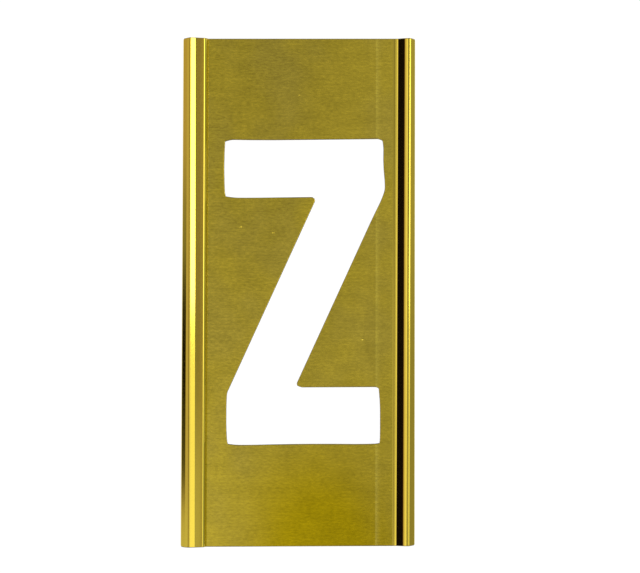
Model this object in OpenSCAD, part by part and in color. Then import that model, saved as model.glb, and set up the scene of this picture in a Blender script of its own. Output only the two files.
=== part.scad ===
// Interlocking lettering stencil with the letter Z, formed from one sheet of brass.
// It lies on its back: +X runs across the letter, +Y up the letter, +Z out of its face.
// The origin is on the surface it lies on, under the middle of the sheet.
// The left edge is folded into a hook. The next stencil's right edge, bent into a lower rib,
// slides lengthwise under that hook, so that a word can be set from single letters.
// Bend radii are to the middle of the sheet, and angles are from the plane of the plate.

/* [Sheet] */
// Thickness of the brass sheet
sheet_t = 0.4; // [0.3:0.05:0.5]
// Overall width over both formed edges
stencil_w = 58; // [56:0.5:70]
// Overall height of the stencil
stencil_h = 127; // [100:1:160]
// Rounding of the stencil's four corners
corner_r = 0.5; // [0.2:0.1:1.2]

/* [Letter] */
// Height of the letter
letter_h = 76.2; // [60:0.2:90]
// Middle of the letter to the right of the stencil's middle
letter_dx = 1.3; // [0:0.1:2]
// Middle of the letter above the stencil's middle
letter_dy = -0.2; // [-5:0.1:5]
// Height of the top bar
top_bar_h = 14.5; // [8:0.25:20]
// Height of the foot bar
foot_bar_h = 14.25; // [8:0.25:20]
// Reach of the top bar to the left of the letter's middle
top_reach_l = 19.9; // [17:0.1:20.5]
// Reach of the top bar to the right of the letter's middle
top_reach_r = 19.7; // [17:0.1:20.5]
// Reach of the foot bar to the left of the letter's middle
foot_reach_l = 19.05; // [17:0.1:20.5]
// Reach of the foot bar to the right of the letter's middle
foot_reach_r = 18.9; // [17:0.1:20.5]
// Width of the slanted stroke, measured along X
stroke_w = 16.45; // [10:0.25:20]
// Lean of the slanted stroke from upright
stroke_lean = 24.67; // [20:0.5:27]
// Middle of the slanted stroke to the right of the letter's middle
stroke_dx = 0.6; // [-1:0.1:1.5]
// Outward lean of the top bar's right end over its height
end_rake = 0.4; // [0:0.05:0.8]
// Bow of the other bar ends, as the cutting die was filed
end_bow = 0.2; // [0:0.05:0.4]
// Rounding of the letter's square corners
corner_ease = 0.5; // [0.2:0.1:1]
// Rounding of the two notches where the stroke meets the bars
notch_ease = 0.45; // [0.2:0.05:1]
// Rounding of the two blunt corners where the stroke meets the bar ends
blunt_ease = 1.4; // [0.5:0.1:3]

/* [Rib on the right edge] */
// Height of the rib over the stencil's back
rib_h = 1.45; // [1.4:0.05:1.9]
// Bend radius of the crest's outer half
rib_r = 0.85; // [0.7:0.05:1]
// Bend radius of the crest's broad inner half
rib_crown_r = 2.7; // [2.2:0.1:3.2]
// Rise of the rib's inner slope
rib_rise = 27; // [24:0.5:30]
// Fall of the rib's outer slope
rib_fall = 38; // [34:1:44]
// Bend radius at the foot of the rib
rib_foot_r = 1.2; // [0.8:0.1:1.4]

/* [Hook on the left edge] */
// Width of the hook's cap, from the outer edge to its shoulder
cap_w = 5.2; // [4.9:0.1:5.6]
// Slope of the cap, down towards the plate
cap_slope = 15; // [12:1:17]
// Width of the flank, from the outer edge to the hook's crest
flank_w = 1.5; // [1.2:0.05:1.7]
// Fall of the flank from the crest to the outer wall
flank_fall = 41; // [36:1:43]
// Bend radius of the crest
crest_r = 0.25; // [0.22:0.01:0.4]
// Bend radius between the flank and the outer wall
wall_r = 0.3; // [0.22:0.02:0.4]
// Bend radius of the shoulder
shoulder_r = 1.1; // [0.8:0.05:1.3]
// Rise of the steep wall from the plate to the shoulder
hook_rise = 60; // [54:1:66]
// Bend radius at the foot of the hook
hook_foot_r = 0.3; // [0.22:0.02:0.5]
// Bend radius of the lip that turns in under the outer wall
lip_r = 0.25; // [0.22:0.01:0.3]
// Straight length of the lip past its bend
lip_l = 0.15; // [0.05:0.05:0.3]
// Gap between this hook and the rib of the next stencil
slide_gap = 0.06; // [0.03:0.01:0.15]

/* [Hidden] */

brass = [0.72, 0.62, 0.24];
bend_brass = [0.86, 0.75, 0.33];
// Largest turn between two points of a bend or a rounding
arc_step = 7.5;
// Straight run between the two halves of the rib's crest
crest_run = 0.1;
// How far a cutting shape runs past what it cuts
cut_over = 1;
// How far the trimming outline stands off the folded edge, which it doesn't cut
trim_off = 0.02;

// The rib, along the middle of the sheet from its trimmed edge over its crest to its foot
rib_top_z = rib_h - sheet_t / 2;
rib_edge_z = sheet_t / 2 / cos(rib_fall);
rib_out_x = stencil_w / 2 - (rib_top_z - rib_edge_z) / tan(rib_fall);
rib_crest_x = rib_out_x - setback(rib_fall, rib_r);
rib_in_x = rib_crest_x - crest_run - setback(rib_rise, rib_crown_r);
rib_foot_x = rib_in_x - (rib_top_z - sheet_t / 2) / tan(rib_rise);
field_right = rib_foot_x - setback(rib_rise, rib_foot_r);

// The hook's outer wall and lip. The lip clears the next stencil's plate by the sliding gap.
wall_x = -(stencil_w - sheet_t) / 2;
lip_z = sheet_t * 3 / 2 + slide_gap;
lip_end_x = wall_x + lip_r + lip_l;

// Where the next stencil's rib lies under the cap when its foot meets the lip, and the height
// at which the cap clears the crest of that rib by the sliding gap
nested_dx = lip_end_x + slide_gap - field_right;
nested_crest_x = rib_crest_x + nested_dx;
cap_mid_z = rib_top_z - rib_r + (rib_r + sheet_t + slide_gap) / cos(cap_slope);

// The hook, along the middle of the sheet from its shoulder over its crest to its outer wall
shoulder_x = cap_w - stencil_w / 2;
shoulder_z = cap_mid_z - (shoulder_x - nested_crest_x) * tan(cap_slope);
crest_x = flank_w - stencil_w / 2;
crest_z = cap_mid_z + (nested_crest_x - crest_x) * tan(cap_slope);
wall_top_z = crest_z - (crest_x - wall_x) * tan(flank_fall);
hook_foot_x = shoulder_x + (shoulder_z - sheet_t / 2) / tan(hook_rise);
field_left = hook_foot_x + setback(hook_rise, hook_foot_r);

// The letter's corners, worked out from its bars and its slanted stroke
bar_end_y = letter_h / 2;
top_bar_y = bar_end_y - top_bar_h;
foot_bar_y = foot_bar_h - bar_end_y;
rake_x = top_reach_r + end_rake;

// x on the left (side = -1) or right (side = 1) of the slanted stroke at height y, and back again
function stroke_x(side, y) = stroke_dx + side * stroke_w / 2 + y * tan(stroke_lean);
function stroke_y(side, x) = (x - stroke_dx - side * stroke_w / 2) / tan(stroke_lean);

// Distance from a corner to where its arc of radius r begins, for a turn of a
function setback(a, r) = r * tan(abs(a) / 2);

function along(a) = [cos(a), sin(a)];
function left_of(a) = [-sin(a), cos(a)];
function flat(p) = [p[0], p[1]];
function heading(p, q) = atan2(q[1] - p[1], q[0] - p[0]);
function turn(p, q, r) =
    let (a = heading(q, r) - heading(p, q))
    a - 360 * round(a / 360);

// Points of the arc that rounds corner q between p and r. The arc has the given radius, and off
// moves it to the left of the way of travel.
function arc_points(p, q, r, radius, off) =
    let (
        start = heading(p, q),
        swing = turn(p, q, r),
        side = sign(swing),
        mid = flat(q) - setback(swing, radius) * along(start) + side * radius * left_of(start),
        steps = max(1, ceil(abs(swing) / arc_step))
    )
    [for (i = [0:steps]) mid + (off - side * radius) * left_of(start + swing * i / steps)];

// Closed outline from corners [x, y, ease], where ease is how far each rounding reaches
function rounded(corners) =
    let (n = len(corners))
    [
        for (i = [0:n - 1])
            let (
                p = corners[(i + n - 1) % n],
                q = corners[i],
                r = corners[(i + 1) % n]
            )
            each arc_points(p, q, r, q[2] / tan(abs(turn(p, q, r)) / 2), 0)
    ];

// One face of a bent strip whose middle follows the corners [x, z, bend radius]
function strip_face(path, off) =
    let (n = len(path))
    concat(
        [flat(path[0]) + off * left_of(heading(path[0], path[1]))],
        [
            for (i = [1:n - 2])
                each arc_points(path[i - 1], path[i], path[i + 1], path[i][2], off)
        ],
        [flat(path[n - 1]) + off * left_of(heading(path[n - 2], path[n - 1]))]
    );

function reversed(points) = [for (i = [len(points) - 1:-1:0]) points[i]];

// Corner halfway along a bar's end, pushed out so that the end bows. It eases almost to the
// roundings at both corners of the end.
function bowed_middle(x, side, y1, y2) = [
    x + side * 2 * end_bow,
    (y1 + y2) / 2,
    abs(y1 - y2) / 2 - blunt_ease - corner_ease
];

letter_outline = rounded([
    [-top_reach_l, bar_end_y, corner_ease],
    [top_reach_r, bar_end_y, corner_ease],
    [rake_x, stroke_y(1, rake_x), blunt_ease],
    [stroke_x(1, foot_bar_y), foot_bar_y, notch_ease],
    [foot_reach_r, foot_bar_y, corner_ease],
    bowed_middle(foot_reach_r, 1, foot_bar_y, -bar_end_y),
    [foot_reach_r, -bar_end_y, corner_ease],
    [-foot_reach_l, -bar_end_y, corner_ease],
    bowed_middle(-foot_reach_l, -1, -bar_end_y, stroke_y(-1, -foot_reach_l)),
    [-foot_reach_l, stroke_y(-1, -foot_reach_l), blunt_ease],
    [stroke_x(-1, top_bar_y), top_bar_y, notch_ease],
    [-top_reach_l, top_bar_y, corner_ease],
    bowed_middle(-top_reach_l, -1, top_bar_y, bar_end_y)
]);

hook_path = [
    [field_left, sheet_t / 2],
    [hook_foot_x, sheet_t / 2, hook_foot_r],
    [shoulder_x, shoulder_z, shoulder_r],
    [crest_x, crest_z, crest_r],
    [wall_x, wall_top_z, wall_r],
    [wall_x, lip_z, lip_r],
    [lip_end_x, lip_z]
];

rib_path = [
    [field_right, sheet_t / 2],
    [rib_foot_x, sheet_t / 2, rib_foot_r],
    [rib_in_x, rib_top_z, rib_crown_r],
    [rib_out_x, rib_top_z, rib_r],
    [rib_out_x + (rib_top_z + cut_over) / tan(rib_fall), -cut_over]
];

// A strip of the sheet bent along path, running past both ends of the stencil
module bent_strip(path) {
    rotate([90, 0, 0])
        linear_extrude(height = stencil_h + 2 * cut_over, center = true)
            polygon(concat(strip_face(path, sheet_t / 2), reversed(strip_face(path, -sheet_t / 2))));
}

// Block with the stencil's plan outline, which trims the ends and the rib's edge and rounds
// the corners
module plan_block() {
    left = -stencil_w / 2 - trim_off;
    right = stencil_w / 2;
    end = stencil_h / 2;
    translate([0, 0, -cut_over])
        linear_extrude(height = crest_z + 2 * cut_over)
            polygon(rounded([
                [left, -end, corner_r],
                [right, -end, corner_r],
                [right, end, corner_r],
                [left, end, corner_r]
            ]));
}

module face_plate() {
    color(brass)
        difference() {
            translate([field_left, -stencil_h / 2, 0])
                cube([field_right - field_left, stencil_h, sheet_t]);
            translate([letter_dx, letter_dy, -cut_over])
                linear_extrude(height = sheet_t + 2 * cut_over)
                    polygon(letter_outline);
        }
}

module hook_rail() {
    color(bend_brass)
        intersection() {
            bent_strip(hook_path);
            plan_block();
        }
}

module rib_rail() {
    color(bend_brass)
        intersection() {
            bent_strip(rib_path);
            plan_block();
        }
}

face_plate();
hook_rail();
rib_rail();
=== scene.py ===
"""Looks of the interlocking lettering stencil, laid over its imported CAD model.

The stencil is one sheet of brass. Its flat field is brushed and pierced with the letter Z, its left
edge is rolled into a hook and its right edge is pressed into a low rib. The three pieces made here
meet on flat metal just inside the bend lines, and each stands for one node of the CAD model.
"""

from __future__ import annotations

import logging
import math
from dataclasses import dataclass, field
from enum import Enum

import bmesh
import bpy
from mathutils import Euler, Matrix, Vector


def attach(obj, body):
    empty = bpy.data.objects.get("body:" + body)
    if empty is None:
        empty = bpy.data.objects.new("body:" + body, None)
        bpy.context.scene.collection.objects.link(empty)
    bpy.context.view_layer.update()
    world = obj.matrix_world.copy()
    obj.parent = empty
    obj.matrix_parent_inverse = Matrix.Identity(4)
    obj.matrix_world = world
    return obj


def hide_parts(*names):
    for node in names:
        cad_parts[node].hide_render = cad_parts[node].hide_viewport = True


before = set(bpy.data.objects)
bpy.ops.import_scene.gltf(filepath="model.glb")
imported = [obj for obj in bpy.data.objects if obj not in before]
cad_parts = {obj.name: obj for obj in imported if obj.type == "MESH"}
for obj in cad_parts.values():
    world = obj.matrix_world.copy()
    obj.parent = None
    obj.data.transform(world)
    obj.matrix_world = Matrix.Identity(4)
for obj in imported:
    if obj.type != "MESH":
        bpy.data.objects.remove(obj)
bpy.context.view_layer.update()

LOG = logging.getLogger("stencil")
MM = 0.001
MERGE_M = 1e-8  # points closer than this are one point
LEVEL_Z = 0.9999  # a face whose normal rises this far lies level
BACK_Z = -0.5  # a face whose normal falls this low takes the back's grain
BACK_SHIFT_MM = 90.0  # how far the back's grain is shifted, so that it isn't the face's

Point = tuple[float, float]
Triple = tuple[float, float, float]
Colour = tuple[float, float, float, float]
Tree = bpy.types.NodeTree
Link = bpy.types.Node | bpy.types.NodeSocket | float | Colour

WHITE: Colour = (1.0, 1.0, 1.0, 1.0)
SMOOTH = {"interpolation_type": "SMOOTHSTEP"}


# Small tools


def paint(code: str) -> Colour:
    """Turns an sRGB hex colour to the linear values that a shader takes.

    Args:
        code: The colour as six hex digits, such as "CCB841".

    Returns:
        Linear red, green and blue, and an alpha of 1.
    """
    def linear(pair: str) -> float:
        """Returns one channel as linear light."""
        c = int(pair, 16) / 255
        return c / 12.92 if c <= 0.04045 else ((c + 0.055) / 1.055) ** 2.4

    return linear(code[0:2]), linear(code[2:4]), linear(code[4:6]), 1.0


def add_node(
    tree: Tree, kind: str, links: dict[str | int, Link] | None = None, **settings: object
) -> bpy.types.Node:
    """Adds one node to a tree, with its settings and what goes into its sockets.

    Args:
        tree: The node tree that the node goes into.
        kind: The node's type name.
        links: For each input, by name or number, what feeds it: a node's first output, a socket
            or a fixed value.
        settings: The node's own properties by name.

    Returns:
        The new node.
    """
    node = tree.nodes.new(kind)
    for name, value in settings.items():
        setattr(node, name, value)
    for key, value in (links or {}).items():
        if isinstance(value, bpy.types.Node):
            value = value.outputs[0]
        if isinstance(value, bpy.types.NodeSocket):
            tree.links.new(value, node.inputs[key])
        else:
            node.inputs[key].default_value = value
    return node


def piece_from(mesh: bpy.types.Mesh, name: str, material: bpy.types.Material) -> bpy.types.Object:
    """Puts a mesh in the scene as a piece with one material.

    Args:
        mesh: The mesh, in the frame's metres.
        name: The piece's name.
        material: The finish on all of its faces.

    Returns:
        The new object, at the origin.
    """
    mesh.materials.append(material)
    piece = bpy.data.objects.new(name, mesh)
    bpy.context.scene.collection.objects.link(piece)
    return piece


def weigh_normals(mesh: bpy.types.Mesh, level: float = 1.0) -> None:
    """Shades a mesh smoothly, with each corner's normal led by the largest faces around it.

    Flat metal then stays flat in the reflections, and only bends and eased edges turn.

    Args:
        mesh: The mesh, whose faces are wound outwards.
        level: How much more the faces that lie level count.
    """
    sums = [Vector((0.0, 0.0, 0.0)) for _ in mesh.vertices]
    for face in mesh.polygons:
        face.use_smooth = True
        push = face.normal * face.area * (level if abs(face.normal.z) > LEVEL_Z else 1.0)
        for index in face.vertices:
            sums[index] += push
    mesh.normals_split_custom_set_from_vertices([total.normalized() for total in sums])


def seal(
    bm: bmesh.types.BMesh, flat: bmesh.types.BMLayerItem, rim: list[Vector], outwards: float
) -> None:
    """Closes a piece on the plane where it meets its neighbour.

    The face has points of its own, so that it does not turn the shading beside it.

    Args:
        bm: The mesh.
        flat: The layer of the flat sheet's coordinates.
        rim: Points round the opening, in the frame's metres.
        outwards: 1 where the piece ends to the right, -1 where it ends to the left.
    """
    face = bm.faces.new([bm.verts.new(point) for point in rim])
    face.normal_update()
    if face.normal.x * outwards < 0:
        face.normal_flip()
    for loop in face.loops:
        co = loop.vert.co / MM
        loop[flat].uv = (co.x + co.z, co.y)


# Sheet and its bends


@dataclass(frozen=True)
class Sheet:
    """The sheet that the stencil is cut from, in millimetres.

    Attributes:
        thick: Thickness of the sheet.
        width: Overall width over both formed edges.
        height: Overall height.
        corner: Rounding of the four corners, seen from above.
        short_top: How much the top end, cut a little out of square, is lower at its left.
        short_foot: How much the foot, cut a little out of square, is higher at its right.
        ease: Rounding of every cut edge, as tumbling leaves it.
        ease_steps: Steps round an eased edge.
    """

    thick: float = 0.4
    width: float = 58.0
    height: float = 127.0
    corner: float = 0.5
    short_top: float = 0.25
    short_foot: float = 0.37
    ease: float = 0.17
    ease_steps: int = 4

    def end_at(self, x: float, end: float) -> float:
        """Finds how far out one end of the sheet is, with its slant and its rounded corners.

        Args:
            x: Place across the stencil.
            end: 1 for the top, -1 for the foot.

        Returns:
            Distance from the stencil's middle to that end.
        """
        across = x / self.width
        short = self.short_top * (0.5 - across) if end > 0 else self.short_foot * (0.5 + across)
        reach = self.height / 2 - short
        past = min(abs(x) - (self.width / 2 - self.corner), self.corner)
        if past <= 0:
            return reach
        return reach - self.corner + math.sqrt(self.corner**2 - past**2)

    def eased(self) -> list[Point]:
        """Lists the rings that round a cut edge.

        Returns:
            For each ring, how far it is drawn in from the face and from the cut end.
        """
        steps = [math.pi / 2 * i / self.ease_steps for i in range(self.ease_steps + 1)]
        return [(self.ease * (1 - math.cos(a)), self.ease * (1 - math.sin(a))) for a in steps]


@dataclass(frozen=True)
class Station:
    """One place along a bent section.

    Attributes:
        x: Place across the stencil of the middle of the sheet.
        z: Height of the middle of the sheet.
        turn: Direction of travel, in radians from +X towards +Z.
        run: Developed distance along the sheet from the section's start.
        slant: How much longer than square the section's cut is here.
    """

    x: float
    z: float
    turn: float
    run: float
    slant: float = 1.0

    def off(self, distance: float) -> Point:
        """Returns the point at a distance towards the sheet's face side."""
        reach = distance * self.slant
        return self.x - reach * math.sin(self.turn), self.z + reach * math.cos(self.turn)


@dataclass(frozen=True)
class Bend:
    """A corner of the section: where the straight runs would meet, and the bend's radius."""

    x: float
    z: float
    radius: float = 0.0


def bent_section(bends: list[Bend], step: float = math.radians(4)) -> list[Station]:
    """Follows a section through its bends.

    Args:
        bends: The section's corners in order. The first and last are its ends.
        step: Largest turn between two stations of a bend.

    Returns:
        The stations, with two on every straight run.
    """
    def heading(a: Bend, b: Bend) -> float:
        """Returns the direction from one corner to the next."""
        return math.atan2(b.z - a.z, b.x - a.x)

    places: list[Triple] = [(bends[0].x, bends[0].z, heading(bends[0], bends[1]))]
    for before, here, after in zip(bends, bends[1:], bends[2:]):
        start = heading(before, here)
        swing = (heading(here, after) - start + math.pi) % (2 * math.pi) - math.pi
        side = math.copysign(1.0, swing)
        back = here.radius * math.tan(abs(swing) / 2)
        mid_x = here.x - back * math.cos(start) - side * here.radius * math.sin(start)
        mid_z = here.z - back * math.sin(start) + side * here.radius * math.cos(start)
        count = max(2, math.ceil(abs(swing) / step))
        for i in range(count + 1):
            a = start + swing * i / count
            out = side * here.radius
            places.append((mid_x + out * math.sin(a), mid_z - out * math.cos(a), a))
    places.append((bends[-1].x, bends[-1].z, heading(bends[-2], bends[-1])))
    stations, run = [], 0.0
    for i, (x, z, a) in enumerate(places):
        if i:
            run += math.dist((x, z), places[i - 1][:2])
        stations.append(Station(x, z, a, run))
    return stations


# Finishes


class Grain(Enum):
    """What the forming rolls have left of the belt's grain."""

    STANDING = "standing"
    PRESSED = "pressed flat"


@dataclass(frozen=True)
class CreaseHighlight:
    """A painted highlight along the faint line that the edge of a forming roll has left in the field.

    Attributes:
        x: Place across the stencil of its sharp side, in millimetres.
        sharp: How far it takes to rise on that side, in millimetres.
        fades: How far it takes to fade out to the right, in millimetres.
        strength: Share of the painted highlight along its sharp side.
        colour: The painted highlight's colour, sRGB hex.
    """

    x: float = 19.35
    sharp: float = 0.3
    fades: float = 1.6
    strength: float = 0.85
    # Painted highlight: a lighter brass along the line, standing in for the light its slight bend
    # catches.
    colour: str = "E2CC50"

    def mask(self, tree: Tree, where: Link) -> Link:
        """Adds the line's mask: sharp on its left, fading to its right.

        Args:
            tree: The material's nodes.
            where: The flat sheet's coordinates in millimetres.

        Returns:
            The share of painted highlight.
        """
        x = add_node(tree, "ShaderNodeSeparateXYZ", {0: where})
        rise = add_node(tree, "ShaderNodeMapRange", {
            "Value": x, "From Min": self.x - self.sharp, "From Max": self.x,
            "To Max": self.strength}, **SMOOTH)
        fade = add_node(tree, "ShaderNodeMapRange", {
            "Value": x, "From Min": self.x, "From Max": self.x + self.fades,
            "To Min": 1.0, "To Max": 0.0})
        thin = add_node(tree, "ShaderNodeMath", {0: fade, 1: 2.0}, operation="POWER")
        return add_node(tree, "ShaderNodeMath", {0: rise, 1: thin}, operation="MULTIPLY")


@dataclass(frozen=True)
class Tarnish:
    """The deeper yellow that the field has taken on round its foot.

    Attributes:
        middle: Where it is deepest, in millimetres.
        reach: How far it spreads, across and up.
        fades: Shares of that reach where it starts to fade and where it ends.
        colour: The tarnished metal, sRGB hex.
    """

    middle: Point = (6.0, -66.0)
    reach: Point = (27.0, 37.0)
    fades: Point = (0.3, 1.05)
    colour: str = "CBB010"

    def mask(self, tree: Tree, where: Link) -> Link:
        """Adds the mask of the tarnish.

        Args:
            tree: The material's nodes.
            where: The flat sheet's coordinates in millimetres.

        Returns:
            The share of tarnished metal.
        """
        away = add_node(tree, "ShaderNodeVectorMath", {0: where, 1: (*self.middle, 0.0)},
                        operation="SUBTRACT")
        scaled = add_node(tree, "ShaderNodeVectorMath", {0: away, 1: (*self.reach, 1.0)},
                          operation="DIVIDE")
        far = add_node(tree, "ShaderNodeVectorMath", {0: scaled}, operation="LENGTH")
        return add_node(tree, "ShaderNodeMapRange", {
            "Value": far.outputs["Value"], "From Min": self.fades[0], "From Max": self.fades[1],
            "To Min": 1.0, "To Max": 0.0}, **SMOOTH)


@dataclass(frozen=True)
class Streak:
    """One layer of the brushed grain, or of the haze over it.

    Attributes:
        long: Length of a streak in millimetres.
        pitch: Spacing of the streaks in millimetres.
        weight: Share of the layer in the grain.
        detail: Finer octaves on top of the streaks.
        octave: Strength of each octave against the one before it.
    """

    long: float
    pitch: float
    weight: float
    detail: float = 0.0
    octave: float = 0.55

    def noise(self, tree: Tree, where: Link) -> Link:
        """Adds noise drawn out along the grain.

        Args:
            tree: The material's nodes.
            where: The flat sheet's coordinates in millimetres.

        Returns:
            The noise, about 0.5 on average.
        """
        stretch = add_node(tree, "ShaderNodeVectorMath", {0: where, 1: (self.long, self.pitch, 1.0)},
                           operation="DIVIDE")
        return add_node(tree, "ShaderNodeTexNoise", {
            "Vector": stretch, "Scale": 1.0, "Detail": self.detail, "Roughness": self.octave},
            noise_dimensions="2D")


@dataclass(frozen=True)
class SheetBrass:
    """Cartridge brass sheet, brushed across the letter with a fine abrasive belt.

    The belt leaves lines about 0.03 mm apart. They spread a reflection up and down the letter and
    keep it tight across it, so that the field looks matt and streaked while the rails, where the
    forming rolls pressed the lines flat, mirror the studio in long bright and dark bands.

    Attributes:
        name: The material's name.
        grain: How much of the belt's grain is left.
        metal: Colour of the clean metal at normal incidence, sRGB hex.
        dulled: Colour where handling has dulled it, sRGB hex.
        edge_shade: Painted shade on the cut edges and their steep eased rounding, sRGB hex.
        cut_across: How far edges that face across the letter count as cut, and not as bent.
        cut_steep: Steepness, as a sine, where metal starts to count as cut and where it does fully.
        rough: Roughness between the streaks.
        streak_rough: Change of roughness from streak to streak.
        spread: Anisotropy of the grain.
        across: Turn of the anisotropy, so that it spreads a reflection across the grain.
        layers: Layers of the grain, the finest first. The real lines are too fine to show from
            half a metre, so they are drawn over ten times as coarse.
        span: How far the grain runs to either side of its average.
        line_height_mm: Height of the drawn lines.
        shading: Change of brightness from streak to streak.
        haze: Size of the dulled patches.
        haze_range: Values of the haze where a patch starts and where it is fullest.
        dulling: Share of the dulled colour in the haziest patches.
    """

    name: str
    grain: Grain
    metal: str = "D1B93B"
    dulled: str = "C4AF4A"
    # Painted shade: dark brown on the cut edges, standing in for the shade on those thin walls.
    edge_shade: str = "3A2E14"
    cut_across: float = 0.5
    cut_steep: Point = (0.185, 0.23)
    rough: float = 0.21
    streak_rough: float = 0.015
    spread: float = 0.8
    across: float = 0.25
    layers: tuple[Streak, ...] = (
        Streak(1.1, 0.42, 0.8, 1.0), Streak(8.0, 0.6, 0.22), Streak(5.0, 3.2, 0.3),
    )
    span: float = 0.4
    line_height_mm: float = 0.0001
    shading: float = 0.2
    haze: Streak = Streak(17.0, 21.0, 1.0, 2.0)
    haze_range: Point = (0.35, 0.7)
    dulling: float = 0.5

    def cut(self, tree: Tree) -> Link:
        """Adds the mask of the painted shade on the sheet's cut edges, by how steeply they face up or
        across the letter.

        Args:
            tree: The material's nodes.

        Returns:
            The share of painted edge shade.
        """
        facing = add_node(tree, "ShaderNodeNewGeometry").outputs["True Normal"]
        flat = add_node(tree, "ShaderNodeVectorMath", {0: facing, 1: (self.cut_across, 1.0, 0.0)},
                        operation="MULTIPLY")
        steep = add_node(tree, "ShaderNodeVectorMath", {0: flat}, operation="LENGTH")
        return add_node(tree, "ShaderNodeMapRange", {
            "Value": steep.outputs["Value"],
            "From Min": self.cut_steep[0], "From Max": self.cut_steep[1]}, **SMOOTH)

    def material(self) -> bpy.types.Material:
        """Builds the finish.

        Returns:
            The material.
        """
        material = bpy.data.materials.new(self.name)
        material.use_nodes = True
        tree = material.node_tree
        tree.nodes.clear()
        flat = add_node(tree, "ShaderNodeUVMap", uv_map="flat_sheet")
        grain: Link = -sum(layer.weight for layer in self.layers) / 2
        for layer in self.layers:
            grain = add_node(tree, "ShaderNodeMath", {
                0: layer.noise(tree, flat), 1: layer.weight, 2: grain}, operation="MULTIPLY_ADD")
        patch = add_node(tree, "ShaderNodeMapRange", {
            "Value": self.haze.noise(tree, flat), "From Min": self.haze_range[0],
            "From Max": self.haze_range[1], "To Max": self.dulling}, **SMOOTH)
        tints_and_highlight: list[tuple[Link, str]] = [(patch, self.dulled)]
        # On the brushed field: the tarnish round its foot and the painted highlight along the forming
        # roll's line.
        if self.grain is Grain.STANDING:
            tints_and_highlight += [(overlay.mask(tree, flat), overlay.colour) for overlay in (Tarnish(), CreaseHighlight())]
        colour: Link = paint(self.metal)
        for mask, overlay_colour in tints_and_highlight:
            colour = add_node(tree, "ShaderNodeMix", {
                "Factor": mask, "A": colour, "B": paint(overlay_colour)}, data_type="RGBA").outputs["Result"]
        rough, shade = (
            add_node(tree, "ShaderNodeMapRange", {
                "Value": grain, "From Min": -self.span, "From Max": self.span,
                "To Min": middle - swing, "To Max": middle + swing})
            for middle, swing in ((self.rough, self.streak_rough), (1.0, self.shading)))
        tinted = add_node(tree, "ShaderNodeVectorMath", {0: colour, "Scale": shade}, operation="SCALE")
        # Painted shade over the cut edges.
        edge_shaded = add_node(tree, "ShaderNodeMix", {
            "Factor": self.cut(tree), "A": tinted, "B": paint(self.edge_shade)}, data_type="RGBA")
        bump = add_node(tree, "ShaderNodeBump", {
            "Strength": 1.0, "Distance": self.line_height_mm * MM, "Height": grain})
        tangent = add_node(tree, "ShaderNodeTangent", direction_type="UV_MAP", uv_map="flat_sheet")
        brass = add_node(tree, "ShaderNodeBsdfPrincipled", {
            "Base Color": edge_shaded.outputs["Result"], "Metallic": 1.0, "Roughness": rough,
            "Anisotropic": self.spread, "Anisotropic Rotation": self.across,
            "Tangent": tangent, "Normal": bump})
        add_node(tree, "ShaderNodeOutputMaterial", {"Surface": brass})
        return material


BRUSHED = SheetBrass("brushed_brass", Grain.STANDING)
# The rails' finish: smoother, with the grain pressed flat. Its metal and dulled colours are paler than
# the field's as painted highlight, standing in for the washed-out yellow of the bright bands they
# reflect.
BURNISHED_HIGHLIT = SheetBrass(
    "burnished_highlit_brass", Grain.PRESSED, metal="DCC246", dulled="CFB84A", cut_across=0.0, rough=0.085,
    streak_rough=0.004, spread=0.3, line_height_mm=0.00002, shading=0.02, dulling=0.2,
)


# Formed edges


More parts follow.
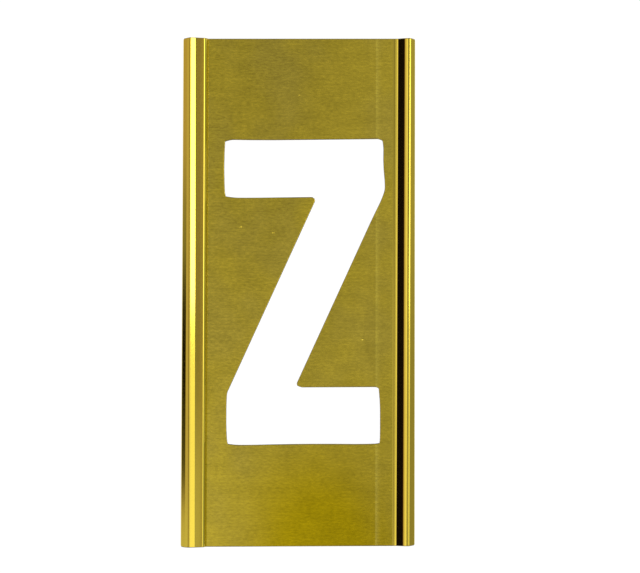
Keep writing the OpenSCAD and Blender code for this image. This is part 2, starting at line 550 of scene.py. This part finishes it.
@dataclass
class FormedEdge:
    """A strip of the sheet bent along the stencil's whole height.

    Attributes:
        sheet: The sheet.
        name: The piece's name.
        node: The CAD node that it stands for.
        slot: The record's material slot. Not used.
        side: 1 on the right of the stencil, -1 on the left.
        drift: How far the bends run outwards from their places at the foot of the stencil: places
            across the section, and the shift at each.
    """

    sheet: Sheet = field(default_factory=Sheet)
    name: str = "formed_edge"
    node: str = ""
    slot: str = "bright_brass"
    side: float = 1.0
    drift: tuple[Point, ...] = ()

    def bends(self) -> list[Bend]:
        """Lists the section's corners from the field to the free edge, as seen from the field."""
        raise NotImplementedError

    def stations(self) -> list[Station]:
        """Returns the section from the field to the free edge, which is cut square."""
        return bent_section(self.bends())

    def drifted(self, x: float, y: float) -> float:
        """Moves a place across the section, as the bends drift from the top to the foot.

        Args:
            x: Place across the section at the top.
            y: Place up the stencil.

        Returns:
            Where that place lies at this height.
        """
        share = 0.5 - y / self.sheet.height
        for (a, shift_a), (b, shift_b) in zip(self.drift, self.drift[1:]):
            if a <= x <= b:
                return x + share * (shift_a + (shift_b - shift_a) * (x - a) / (b - a))
        return x

    def outline(self, stations: list[Station], inset: float) -> list[Triple]:
        """Draws the strip's section, drawn in from its faces and its free edge.

        Args:
            stations: The section, from the field to the free edge.
            inset: How far the section is drawn in.

        Returns:
            Points (x, z, developed run) along the face, round the free edge and back underneath.
        """
        half = self.sheet.thick / 2
        ease = self.sheet.ease
        last = stations[-1]
        face = [(*s.off(half - inset), s.run) for s in stations[:-1]]
        back = [(*s.off(inset - half), s.run) for s in stations[:-1]]
        small = ease - inset
        tip: list[Triple] = []
        for corner in (1.0, -1.0):
            arc = []
            for i in range(self.sheet.ease_steps + 1):
                a = math.pi / 2 * i / self.sheet.ease_steps
                along = -ease + small * math.sin(a)
                off = corner * (half - ease + small * math.cos(a))
                x, z = last.off(off)
                x, z = x + along * math.cos(last.turn), z + along * math.sin(last.turn)
                arc.append((x, z, last.run))
            tip += arc if corner > 0 else arc[::-1]
        return face + tip + back[::-1]

    def mesh(self) -> bpy.types.Mesh:
        """Runs the section up the stencil, with eased ends.

        Returns:
            The strip's mesh, a closed solid.
        """
        stations, side = self.stations(), self.side
        rows = self.sheet.eased()[::-1]
        bm = bmesh.new()
        flat = bm.loops.layers.uv.new("flat_sheet")
        rings: list[list[bmesh.types.BMVert]] = []
        for end in (-1.0, 1.0):
            for inset, back in rows if end < 0 else reversed(rows):
                ring = []
                for x, z, _ in self.outline(stations, inset):
                    y = end * (self.sheet.end_at(side * x, end) - back)
                    ring.append(bm.verts.new((side * self.drifted(x, y) * MM, y * MM, z * MM)))
                rings.append(ring)
        count = len(rings[0])
        middle = count // 2
        runs = [stations[0].x + point[2] for point in self.outline(stations, 0.0)]
        for lower, upper in zip(rings, rings[1:]):
            for i in range(count - 1):
                quad = [lower[i], lower[i + 1], upper[i + 1], upper[i]]
                face = bm.faces.new(quad if side > 0 else quad[::-1])
                over = 0.0 if i < middle else BACK_SHIFT_MM
                for loop in face.loops:
                    run = runs[i + 1] if loop.vert in (lower[i + 1], upper[i + 1]) else runs[i]
                    loop[flat].uv = (side * run + over, loop.vert.co.y / MM)
        for ring, up in ((rings[0], False), (rings[-1], True)):
            for i in range(middle - 1):
                quad = [ring[i], ring[i + 1], ring[count - 2 - i], ring[count - 1 - i]]
                face = bm.faces.new(quad if (side > 0) == up else quad[::-1])
                for loop in face.loops:
                    loop[flat].uv = (side * runs[i], (loop.vert.co.y + loop.vert.co.z) / MM)
        ends = [ring[0] for ring in rings] + [ring[-1] for ring in reversed(rings)]
        rim = [vert.co.copy() for vert in ends]
        bmesh.ops.remove_doubles(bm, verts=bm.verts[:], dist=MERGE_M)
        seal(bm, flat, rim, -side)
        mesh = bpy.data.meshes.new(self.name)
        bm.to_mesh(mesh)
        bm.free()
        weigh_normals(mesh)
        return mesh

    def build(self, material: bpy.types.Material) -> None:
        """Makes the strip, dresses it and fastens it to the frame.

        Args:
            material: The strip's finish.
        """
        piece = piece_from(self.mesh(), self.name, material)
        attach(piece, "root")
        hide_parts(self.node)
        LOG.info("%s: %d faces, stands for %s", self.name, len(piece.data.polygons), self.node)


@dataclass
class RibEdge(FormedEdge):
    """The right edge: a low rib with a broad crest, which slides under the next stencil's hook.

    Attributes:
        seam: Where the strip meets the field.
        lead: The first two bends towards the rib's foot: place, slope behind it and radius.
        foot_radius: Bend radius at the rib's foot.
        high: Height of the rib over the stencil's back.
        broad: Bend radius of the crest's inner half.
        level: Flat run on the crest.
        tight: Bend radius of the crest's outer half.
        rise: Slope of the inner side, in degrees.
        fall: Slope of the outer side, in degrees, which reaches the back at the stencil's edge.
    """

    name: str = "rib_edge"
    node: str = "rib_rail"
    seam: float = 23.4
    lead: tuple[Triple, ...] = ((23.9, 4.2, 5.5), (24.58, 9.0, 1.5))
    foot_radius: float = 0.5
    high: float = 1.45
    broad: float = 2.7
    level: float = 0.18
    tight: float = 0.35
    rise: float = 25.3
    fall: float = 38.4
    drift: tuple[Point, ...] = ((23.4, 0.0), (24.4, -0.31), (27.6, -0.33), (29.0, 0.0))

    def bends(self) -> list[Bend]:
        """Lists the section's corners from the field out to the trimmed edge.

        Returns:
            The corners, along the middle of the sheet.
        """
        mid, edge = self.sheet.thick / 2, self.sheet.width / 2
        top = self.high - mid
        fall = math.radians(self.fall)
        end = mid / math.cos(fall)
        outer = edge - (top - end) / math.tan(fall)
        inner = outer - self.tight * math.tan(fall / 2) - self.level
        inner -= self.broad * math.tan(math.radians(self.rise / 2))
        corners = [Bend(self.seam, mid)]
        slope = 0.0
        for x, steeper, radius in self.lead:
            corners.append(Bend(x, corners[-1].z + (x - corners[-1].x) * slope, radius))
            slope = math.tan(math.radians(steeper))
        rise, last = math.tan(math.radians(self.rise)), corners[-1]
        foot = (last.z - top + inner * rise - last.x * slope) / (rise - slope)
        return [
            *corners,
            Bend(foot, last.z + (foot - last.x) * slope, self.foot_radius),
            Bend(inner, top, self.broad),
            Bend(outer, top, self.tight),
            Bend(edge, end),
        ]

    def stations(self) -> list[Station]:
        """Returns the section, trimmed upright at the stencil's edge."""
        *most, last = super().stations()
        return [*most, Station(last.x, last.z, 0.0, last.run, 1 / math.cos(last.turn))]


@dataclass
class HookEdge(FormedEdge):
    """The left edge: a steep wall, a sloping cap, a flank and a lip turned in underneath.

    The corners are given as seen from the field, so that x grows outwards as it does on the rib.

    Attributes:
        seam: Where the strip meets the field.
        foot_radius: Bend radius at the wall's foot.
        rise: Slope of the wall, in degrees.
        shoulder: Corner between the wall and the cap.
        cap: Corner where the cap's slope first eases.
        crease: Corner where the cap's slope eases.
        crest: Corner between the cap and the flank.
        crown: Corner where the flank steepens.
        knee: Corner between the flank and the short upright under it.
        lip: Corner where the lip turns in.
        lip_length: Length of the lip from that corner.
    """

    name: str = "hook_edge"
    node: str = "hook_rail"
    side: float = -1.0
    seam: float = 22.6
    foot_radius: float = 0.22
    rise: float = 61.0
    shoulder: Bend = Bend(23.44, 1.353, 1.1)
    cap: Bend = Bend(24.9, 1.783, 45.0)
    crease: Bend = Bend(26.0, 2.084, 5.0)
    crest: Bend = Bend(27.18, 2.354, 0.32)
    crown: Bend = Bend(27.85, 1.83, 1.0)
    knee: Bend = Bend(28.8, 1.01, 0.15)
    lip: Bend = Bend(28.8, 0.66, 0.2)
    lip_length: float = 0.4
    drift: tuple[Point, ...] = (
        (22.6, 0.0), (23.44, -0.1), (26.0, -0.48), (27.18, -0.33), (27.85, -0.06), (28.8, 0.0),
    )

    def bends(self) -> list[Bend]:
        """Lists the section's corners from the field out and round to the lip.

        Returns:
            The corners, along the middle of the sheet.
        """
        mid = self.sheet.thick / 2
        foot = self.shoulder.x - (self.shoulder.z - mid) / math.tan(math.radians(self.rise))
        return [
            Bend(self.seam, mid),
            Bend(foot, mid, self.foot_radius),
            self.shoulder, self.cap, self.crease, self.crest, self.crown, self.knee, self.lip,
            Bend(self.lip.x - self.lip_length, self.lip.z),
        ]


# Field and letter


@dataclass(frozen=True)
class LetterZ:
    """The letter as its worn die cut it, in millimetres from its own middle.

    The bars rise a little to the right, their ends bow out and the notches are blunt.

    Attributes:
        middle: The letter's middle on the stencil.
        corners: Its corners, clockwise, each with how far its rounding reaches along the edge.
    """

    middle: Point = (1.3, -0.2)
    corners: tuple[Triple, ...] = (
        # Upper edge and right end of the top bar.
        (-19.77, 37.62, 0.12), (-18.3, 38.07, 0.8), (-10.5, 37.98, 3.0), (18.6, 38.4, 0.3),
        (19.58, 38.0, 0.25), (19.8, 36.2, 0.5), (19.76, 31.9, 1.2), (20.18, 27.4, 0.8),
        # Right side of the slanted stroke, down to its notch.
        (20.16, 25.6, 0.8), (19.3, 23.15, 1.2), (17.2, 18.87, 1.5), (-1.73, -22.72, 0.28),
        (-1.55, -23.3, 0.2),
        # Foot bar: upper edge, right end, lower edge and left end.
        (-0.55, -23.7, 0.4), (18.1, -23.58, 0.3), (18.7, -23.9, 0.15), (18.8, -24.8, 0.3),
        (19.03, -27.6, 1.0), (19.09, -32.0, 2.0), (19.03, -36.6, 0.4), (18.94, -37.45, 0.15),
        (18.2, -37.61, 0.4), (14.5, -37.74, 1.5), (5.0, -37.68, 3.0), (-6.0, -37.81, 3.0),
        (-13.0, -38.02, 1.5), (-16.9, -38.01, 0.8), (-18.8, -37.75, 0.15), (-18.98, -36.9, 0.4),
        (-19.17, -33.5, 1.0), (-19.17, -28.0, 1.0),
        # Left side of the stroke, up to its notch.
        (-19.02, -25.13, 0.5), (2.76, 22.8, 0.25), (2.62, 23.42, 0.2),
        # Lower edge and left end of the top bar.
        (2.05, 23.82, 0.25), (-13.0, 23.58, 1.5), (-17.2, 23.58, 0.8), (-19.55, 23.9, 0.12),
        (-19.77, 24.8, 0.4), (-19.93, 28.5, 1.5), (-19.96, 33.0, 1.5),
    )

    def outline(self, grow: float, step: float = math.radians(6)) -> list[Point]:
        """Draws the opening's edge, grown into the metal around it.

        Args:
            grow: How far outside the opening the line runs.
            step: Largest turn between two points of a rounding.

        Returns:
            Points clockwise round the opening.
        """
        points: list[Point] = []
        for i, (x, y, reach) in enumerate(self.corners):
            bx, by, _ = self.corners[i - 1]
            ax, ay, _ = self.corners[(i + 1) % len(self.corners)]
            start = math.atan2(y - by, x - bx)
            swing = (math.atan2(ay - y, ax - x) - start + math.pi) % (2 * math.pi) - math.pi
            radius = reach / math.tan(abs(swing) / 2)
            side = math.copysign(1.0, swing)
            mid_x = x - reach * math.cos(start) - side * radius * math.sin(start)
            mid_y = y - reach * math.sin(start) + side * radius * math.cos(start)
            count = max(1, math.ceil(abs(swing) / step))
            out = radius * side - grow
            for k in range(count + 1):
                a = start + swing * k / count
                points.append((self.middle[0] + mid_x + out * math.sin(a),
                               self.middle[1] + mid_y - out * math.cos(a)))
        return points


@dataclass(frozen=True)
class Ding:
    """A small dent in the field, in millimetres.

    Attributes:
        x, y: Its place.
        radius: Radius of its rim.
        deep: Its depth.
        levels: Shares of the radius and of the depth at its rings, from the rim inwards.
    """

    x: float
    y: float
    radius: float
    deep: float = 0.038
    levels: tuple[Point, ...] = ((1.0, 0.0), (0.6, 0.7), (0.25, 1.0))


@dataclass
class Field:
    """The flat, brushed field with the letter cut through it.

    Attributes:
        sheet: The sheet.
        letter: The letter.
        left: Where the field meets the hook's strip.
        right: Where the field meets the rib's strip.
        dings: Dents from handling, where the photograph shows bright specks.
        level_weight: How much more than eased edges the level faces count in the shading. Thin
            slivers of the face along the letter would otherwise lean with its eased edge.
    """

    sheet: Sheet = field(default_factory=Sheet)
    letter: LetterZ = field(default_factory=LetterZ)
    left: float = -22.6
    right: float = 23.4
    dings: tuple[Ding, ...] = (
        Ding(0.1, 49.15, 0.24), Ding(-14.5, 16.05, 0.36),
        Ding(-6.35, 14.65, 0.3), Ding(16.05, -12.0, 0.28),
    )
    level_weight: float = 1000.0

    def mesh(self) -> bpy.types.Mesh:
        """Builds the field: two faces, the letter's walls and eased ends.

        Returns:
            The field's mesh, a closed solid.
        """
        bm = bmesh.new()
        flat = bm.loops.layers.uv.new("flat_sheet")
        thick = self.sheet.thick
        rounds = self.sheet.eased()

        def vert(x: float, y: float, z: float) -> bmesh.types.BMVert:
            """Adds a point given in millimetres."""
            return bm.verts.new((x * MM, y * MM, z * MM))

        # From the face, over the eased edge and down to the back: height and distance from the cut.
        fall = [(thick - d, e) for d, e in rounds] + [(d, e) for d, e in reversed(rounds)]
        hole = [[vert(x, y, z) for x, y in self.letter.outline(e)] for z, e in fall]
        count = len(hole[0])
        for upper, lower in zip(hole, hole[1:]):
            for i in range(count):
                k = (i + 1) % count
                bm.faces.new([upper[i], lower[i], lower[k], upper[k]])
        rims: dict[float, list[list[bmesh.types.BMVert]]] = {}
        for side in (-1.0, 1.0):
            rims[side] = [[vert(x, side * (self.sheet.end_at(x, side) - e), z)
                           for x in (self.left, self.right)] for z, e in fall]
            for upper, lower in zip(rims[side], rims[side][1:]):
                quad = [upper[0], lower[0], lower[1], upper[1]]
                bm.faces.new(quad if side < 0 else quad[::-1])
        round_end = rims[1.0] + rims[-1.0][::-1]
        seams = [[row[end].co.copy() for row in round_end] for end in (0, 1)]
        bm.edges.ensure_lookup_table()
        for level, up in ((0, True), (-1, False)):
            lower, upper = rims[-1.0][level], rims[1.0][level]
            loop = [lower[0], lower[1], upper[1], upper[0]]
            edges = []
            for ring in (loop, hole[level]):
                for pair in zip(ring, ring[1:] + ring[:1]):
                    edges.append(bm.edges.get(pair) or bm.edges.new(pair))
            if up:
                for ding in self.dings:
                    edges += self.dent(bm, ding)
            made = bmesh.ops.triangle_fill(bm, use_beauty=True, use_dissolve=False, edges=edges)
            for face in [g for g in made["geom"] if isinstance(g, bmesh.types.BMFace)]:
                face.normal_update()
                if (face.normal.z > 0) != up:
                    face.normal_flip()
        bmesh.ops.remove_doubles(bm, verts=bm.verts[:], dist=MERGE_M)
        for face in bm.faces:
            face.normal_update()
            back = face.normal.z < BACK_Z
            for loop in face.loops:
                co = loop.vert.co / MM
                loop[flat].uv = (co.x + BACK_SHIFT_MM, co.y) if back else (co.x, co.y + thick - co.z)
        for rim, outwards in zip(seams, (-1.0, 1.0)):
            seal(bm, flat, rim, outwards)
        mesh = bpy.data.meshes.new("brushed_field")
        bm.to_mesh(mesh)
        bm.free()
        weigh_normals(mesh, self.level_weight)
        return mesh

    def dent(self, bm: bmesh.types.BMesh, ding: Ding, sides: int = 10) -> list[bmesh.types.BMEdge]:
        """Presses one dent into the face and leaves its rim for the face to be filled round.

        Args:
            bm: The mesh.
            ding: The dent.
            sides: Sides of its rim.

        Returns:
            The rim's edges.
        """
        turns = [2 * math.pi * i / sides for i in range(sides)]
        rings = [
            [bm.verts.new(((ding.x + ding.radius * r * math.cos(a)) * MM,
                           (ding.y + ding.radius * r * math.sin(a)) * MM,
                           (self.sheet.thick - ding.deep * d) * MM)) for a in turns]
            for r, d in ding.levels
        ]
        for outer, inner in zip(rings, rings[1:]):
            for i in range(sides):
                k = (i + 1) % sides
                bm.faces.new([outer[i], outer[k], inner[k], inner[i]])
        bm.faces.new(rings[-1])
        return [bm.edges.get((rings[0][i], rings[0][(i + 1) % sides])) for i in range(sides)]

    def build(self, material: bpy.types.Material) -> None:
        """Makes the field, dresses it and fastens it to the frame.

        Args:
            material: The field's finish.
        """
        piece = piece_from(self.mesh(), "brushed_field", material)
        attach(piece, "root")
        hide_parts("face_plate")
        LOG.info("brushed_field: %d faces, stands for face_plate", len(piece.data.polygons))


# Studio and camera


@dataclass(frozen=True)
class Wall:
    """How bright the studio is in one direction across the stencil.

    Attributes:
        angle: Degrees from straight up, towards +X.
        level: Brightness, where 1 shows a colour as it is written.
        warm: How far its light leans to the warm side.
    """

    angle: float
    level: float
    warm: float = 0.0

    def colour(self) -> Colour:
        """Returns the wall's linear colour: warm light has 6 % more red, 2 % less green a step."""
        red, green = 1 + 0.06 * self.warm, 1 - 0.02 * self.warm
        return self.level * red, self.level * green, self.level, 1.0


@dataclass(frozen=True)
class Card:
    """A soft-edged card, or a dark gap, that stands somewhere round the stencil.

    Attributes:
        across: From where to where it reaches, in degrees from straight up towards +X.
        along: From where to where it reaches along the stencil, as the Y part of a direction.
        level: Its brightness.
        soft: Width of its soft edges, across and along.
    """

    across: Point
    along: Point
    level: float
    soft: Point

    def mask(self, tree: Tree, angle: Link, along: Link) -> Link:
        """Adds the card's mask.

        Args:
            tree: The world's nodes.
            angle: The direction's angle across the stencil, in radians.
            along: The direction's part along the stencil.

        Returns:
            1 on the card and 0 around it.
        """
        ends = tuple(math.radians(a) for a in self.across)
        share: Link = 1.0
        for value, reach, wide in (
            (angle, ends, math.radians(self.soft[0])), (along, self.along, self.soft[1]),
        ):
            for edge, inwards in zip(reach, (1.0, -1.0)):
                step = add_node(tree, "ShaderNodeMapRange", {
                    "Value": value, "From Min": edge - wide / 2, "From Max": edge + wide / 2,
                    "To Min": 0.5 - inwards / 2, "To Max": 0.5 + inwards / 2}, **SMOOTH)
                share = add_node(tree, "ShaderNodeMath", {0: step, 1: share}, operation="MULTIPLY")
        return share


@dataclass
class Studio:
    """A plain studio: white paper underneath, a softbox over the right and grey walls around.

    Attributes:
        walls: Brightness of the walls and the ceiling by direction across the stencil.
        cards: What stands in front of the walls, each in front of those before it.
        lamp_angles: From where to where the softbox reaches, in degrees from straight up.
        lamp_level: Brightness of the softbox.
        lamp_high: Height of the softbox, in metres.
        lamp_ends: From where to where the softbox reaches along the stencil, in metres.
        paper_half: Half the paper's width, in metres.
        paper_low: How far the paper lies under the stencil, in millimetres.
        paper_colour: Colour of the paper in the studio's light.
        paper_glow: How bright the paper is of itself, to be seen as white.
    """

    walls: tuple[Wall, ...] = tuple(Wall(*wall) for wall in (
        (-90, 0.45, 2.5), (-84, 0.5, 2.5), (-79, 0.75, 2), (-70, 0.6, 1.5), (-61, 0.5, 1.5),
        (-55, 0.004, 1), (-46.8, 0.006, 5), (-44, 0.024, 10), (-41, 0.07, 9), (-38, 0.25, 5),
        (-34.5, 0.68, 1.5), (-28, 0.85, 0.8), (-17, 1.05, 0.5), (-9.5, 1.45), (-7.8, 1.35),
        (-6.6, 0.57), (-5.6, 0.47), (-3.2, 0.29), (0, 0.34), (3, 0.45), (6, 0.56), (26, 0.4),
        (27.5, 0.3, -3), (28.6, 0.27, -3), (30.2, 0.29, 1.8), (33.5, 0.31, 1.8), (36, 2.5),
        (54, 2.5), (58, 0.33, -6.5), (68, 0.35, -5.5), (78, 0.46), (90, 0.52),
    ))
    cards: tuple[Card, ...] = (
        Card((-30.0, 0.0), (-0.45, -0.12), 1.5, (10.0, 0.1)),
        Card((0.0, 12.0), (-0.45, -0.1), 0.15, (5.0, 0.1)),
        Card((-1.0, 8.0), (-0.11, 0.05), 0.57, (2.0, 0.05)),
        Card((12.0, 26.0), (-0.45, 0.08), 1.4, (1.5, 0.04)),
        Card((27.0, 32.6), (-0.45, -0.03), 0.6, (1.8, 0.06)),
        Card((35.0, 55.0), (-0.45, 0.0), 1.2, (2.0, 0.12)),
        Card((72.0, 120.0), (-0.45, 0.04), 0.37, (4.0, 0.1)),
        Card((-120.0, 120.0), (0.42, 1.5), 0.5, (4.0, 0.16)),
        Card((-120.0, 120.0), (-1.5, -0.44), 0.5, (4.0, 0.16)),
        Card((-120.0, -80.0), (0.0, 0.088), 0.3, (3.0, 0.05)),
        Card((-120.0, -78.0), (-0.066, 0.045), 0.055, (3.0, 0.02)),
        Card((-120.0, -79.0), (-0.02, 0.026), 0.0, (3.0, 0.02)),
        Card((-120.0, -60.0), (-0.45, -0.074), 0.78, (4.0, 0.016)),
    )
    lamp_angles: Point = (11.5, 25.0)
    lamp_level: float = 5.2
    lamp_high: float = 0.8
    lamp_ends: Point = (0.02, 0.34)
    paper_half: float = 3.0
    paper_low: float = 0.05
    paper_colour: str = "7C7C7C"
    paper_glow: float = 0.9

    def paper(self) -> None:
        """Lays the white paper that the stencil rests on."""
        bm = bmesh.new()
        bm.faces.new([bm.verts.new((x * self.paper_half, y * self.paper_half, -self.paper_low * MM))
                      for x, y in ((-1, -1), (1, -1), (1, 1), (-1, 1))])
        mesh = bpy.data.meshes.new("paper")
        bm.to_mesh(mesh)
        bm.free()
        material = bpy.data.materials.new("white_paper")
        material.use_nodes = True
        tree = material.node_tree
        tree.nodes.clear()
        diffuse = add_node(tree, "ShaderNodeBsdfDiffuse", {"Color": paint(self.paper_colour)})
        rays = add_node(tree, "ShaderNodeLightPath").outputs
        seen: Link = 0.0
        for ray in ("Is Camera Ray", "Is Glossy Ray", "Is Transmission Ray"):
            seen = add_node(tree, "ShaderNodeMath", {0: rays[ray], 1: seen}, operation="MAXIMUM")
        glow = add_node(tree, "ShaderNodeMath", {0: seen, 1: self.paper_glow}, operation="MULTIPLY")
        light = add_node(tree, "ShaderNodeEmission", {"Color": WHITE, "Strength": glow})
        total = add_node(tree, "ShaderNodeAddShader", {0: diffuse, 1: light})
        # The paper is one-sided, so that the stencil's back can be looked at through it.
        behind = add_node(tree, "ShaderNodeNewGeometry").outputs["Backfacing"]
        clear = add_node(tree, "ShaderNodeBsdfTransparent")
        sheet = add_node(tree, "ShaderNodeMixShader", {0: behind, 1: total, 2: clear})
        add_node(tree, "ShaderNodeOutputMaterial", {"Surface": sheet})
        paper = piece_from(mesh, "paper", material)

    def surroundings(self) -> None:
        """Paints the walls: grey bands by direction, and plain white where the camera looks."""
        world = bpy.data.worlds.new("studio")
        bpy.context.scene.world = world
        world.use_nodes = True
        tree = world.node_tree
        tree.nodes.clear()
        way = add_node(tree, "ShaderNodeTexCoord").outputs["Generated"]
        axes = add_node(tree, "ShaderNodeSeparateXYZ", {0: way}).outputs
        angle = add_node(tree, "ShaderNodeMath", {0: axes["X"], 1: axes["Z"]}, operation="ARCTAN2")
        share = add_node(tree, "ShaderNodeMapRange", {
            "Value": angle, "From Min": -math.pi / 2, "From Max": math.pi / 2})
        bands = add_node(tree, "ShaderNodeValToRGB", {0: share})
        ramp = bands.color_ramp
        ramp.elements.remove(ramp.elements[1])
        for i, wall in enumerate(self.walls):
            at = (wall.angle + 90) / 180
            stop = ramp.elements[0] if i == 0 else ramp.elements.new(at)
            stop.position = at
            stop.color = wall.colour()
        seen: Link = bands
        for card in self.cards:
            seen = add_node(tree, "ShaderNodeMix", {
                "Factor": card.mask(tree, angle, axes["Y"]), "A": seen,
                "B": (card.level, card.level, card.level, 1.0)}, data_type="RGBA").outputs["Result"]
        camera = add_node(tree, "ShaderNodeLightPath").outputs["Is Camera Ray"]
        colour = add_node(tree, "ShaderNodeMix", {
            "Factor": camera, "A": seen, "B": WHITE}, data_type="RGBA")
        back = add_node(tree, "ShaderNodeBackground", {"Color": colour.outputs["Result"]})
        add_node(tree, "ShaderNodeOutputWorld", {"Surface": back})

    def softbox(self) -> None:
        """Hangs the softbox over the right of the stencil, facing down."""
        near, far = (self.lamp_high * math.tan(math.radians(a)) for a in self.lamp_angles)
        light = bpy.data.lights.new("softbox", "AREA")
        light.shape = "RECTANGLE"
        light.size = far - near
        light.size_y = self.lamp_ends[1] - self.lamp_ends[0]
        light.energy = self.lamp_level * math.pi * light.size * light.size_y
        lamp = bpy.data.objects.new("softbox", light)
        lamp.location = ((near + far) / 2, sum(self.lamp_ends) / 2, self.lamp_high)
        lamp.visible_camera = False
        bpy.context.scene.collection.objects.link(lamp)

    def build(self) -> None:
        """Sets up the paper, the walls and the softbox."""
        self.paper()
        self.surroundings()
        self.softbox()
        LOG.info("studio: paper, walls and softbox")


@dataclass(frozen=True)
class PhotoCamera:
    """The camera, fitted to the photograph's edges and corners.

    Attributes:
        place: Where it stands, in millimetres.
        tilt: Its turns about X, Y and Z, in degrees.
        focal_px: Focal length in pixels of the picture.
        wide_px: The picture's width.
        sensor: Width of the sensor, in millimetres.
        near: Nearest distance that is drawn, in metres.
    """

    place: Triple = (0.398, -17.737, 500.0)
    tilt: Triple = (2.174, -0.571, 0.158)
    focal_px: float = 2005.0
    wide_px: float = 640.0
    sensor: float = 36.0
    near: float = 0.01

    def build(self) -> None:
        """Sets up the camera and makes it the scene's."""
        lens = bpy.data.cameras.new("photo_camera")
        lens.sensor_width = self.sensor
        lens.lens = self.focal_px / self.wide_px * self.sensor
        lens.clip_start = self.near
        camera = bpy.data.objects.new("photo_camera", lens)
        camera.location = Vector(self.place) * MM
        camera.rotation_euler = Euler([math.radians(a) for a in self.tilt], "XYZ")
        bpy.context.scene.collection.objects.link(camera)
        bpy.context.scene.camera = camera
        LOG.info("photo_camera: %.0f mm over the paper", self.place[2])


# The whole stencil


@dataclass
class LetteringStencil:
    """The stencil: the brushed field between its two formed edges."""

    plate: Field = field(default_factory=Field)
    hook: HookEdge = field(default_factory=HookEdge)
    rib: RibEdge = field(default_factory=RibEdge)

    def build(self) -> None:
        """Makes the three pieces, with the hook and rib sharing one finish."""
        burnished_highlit = BURNISHED_HIGHLIT.material()
        self.plate.build(BRUSHED.material())
        self.hook.build(burnished_highlit)
        self.rib.build(burnished_highlit)


def main() -> None:
    """Builds the camera, the stencil and the studio, and reports each."""
    logging.basicConfig(level=logging.INFO, format="%(name)s %(message)s")
    bpy.context.scene.view_settings.view_transform = "Standard"
    PhotoCamera().build()
    LetteringStencil().build()
    Studio().build()


if __name__ == "__main__":
    main()
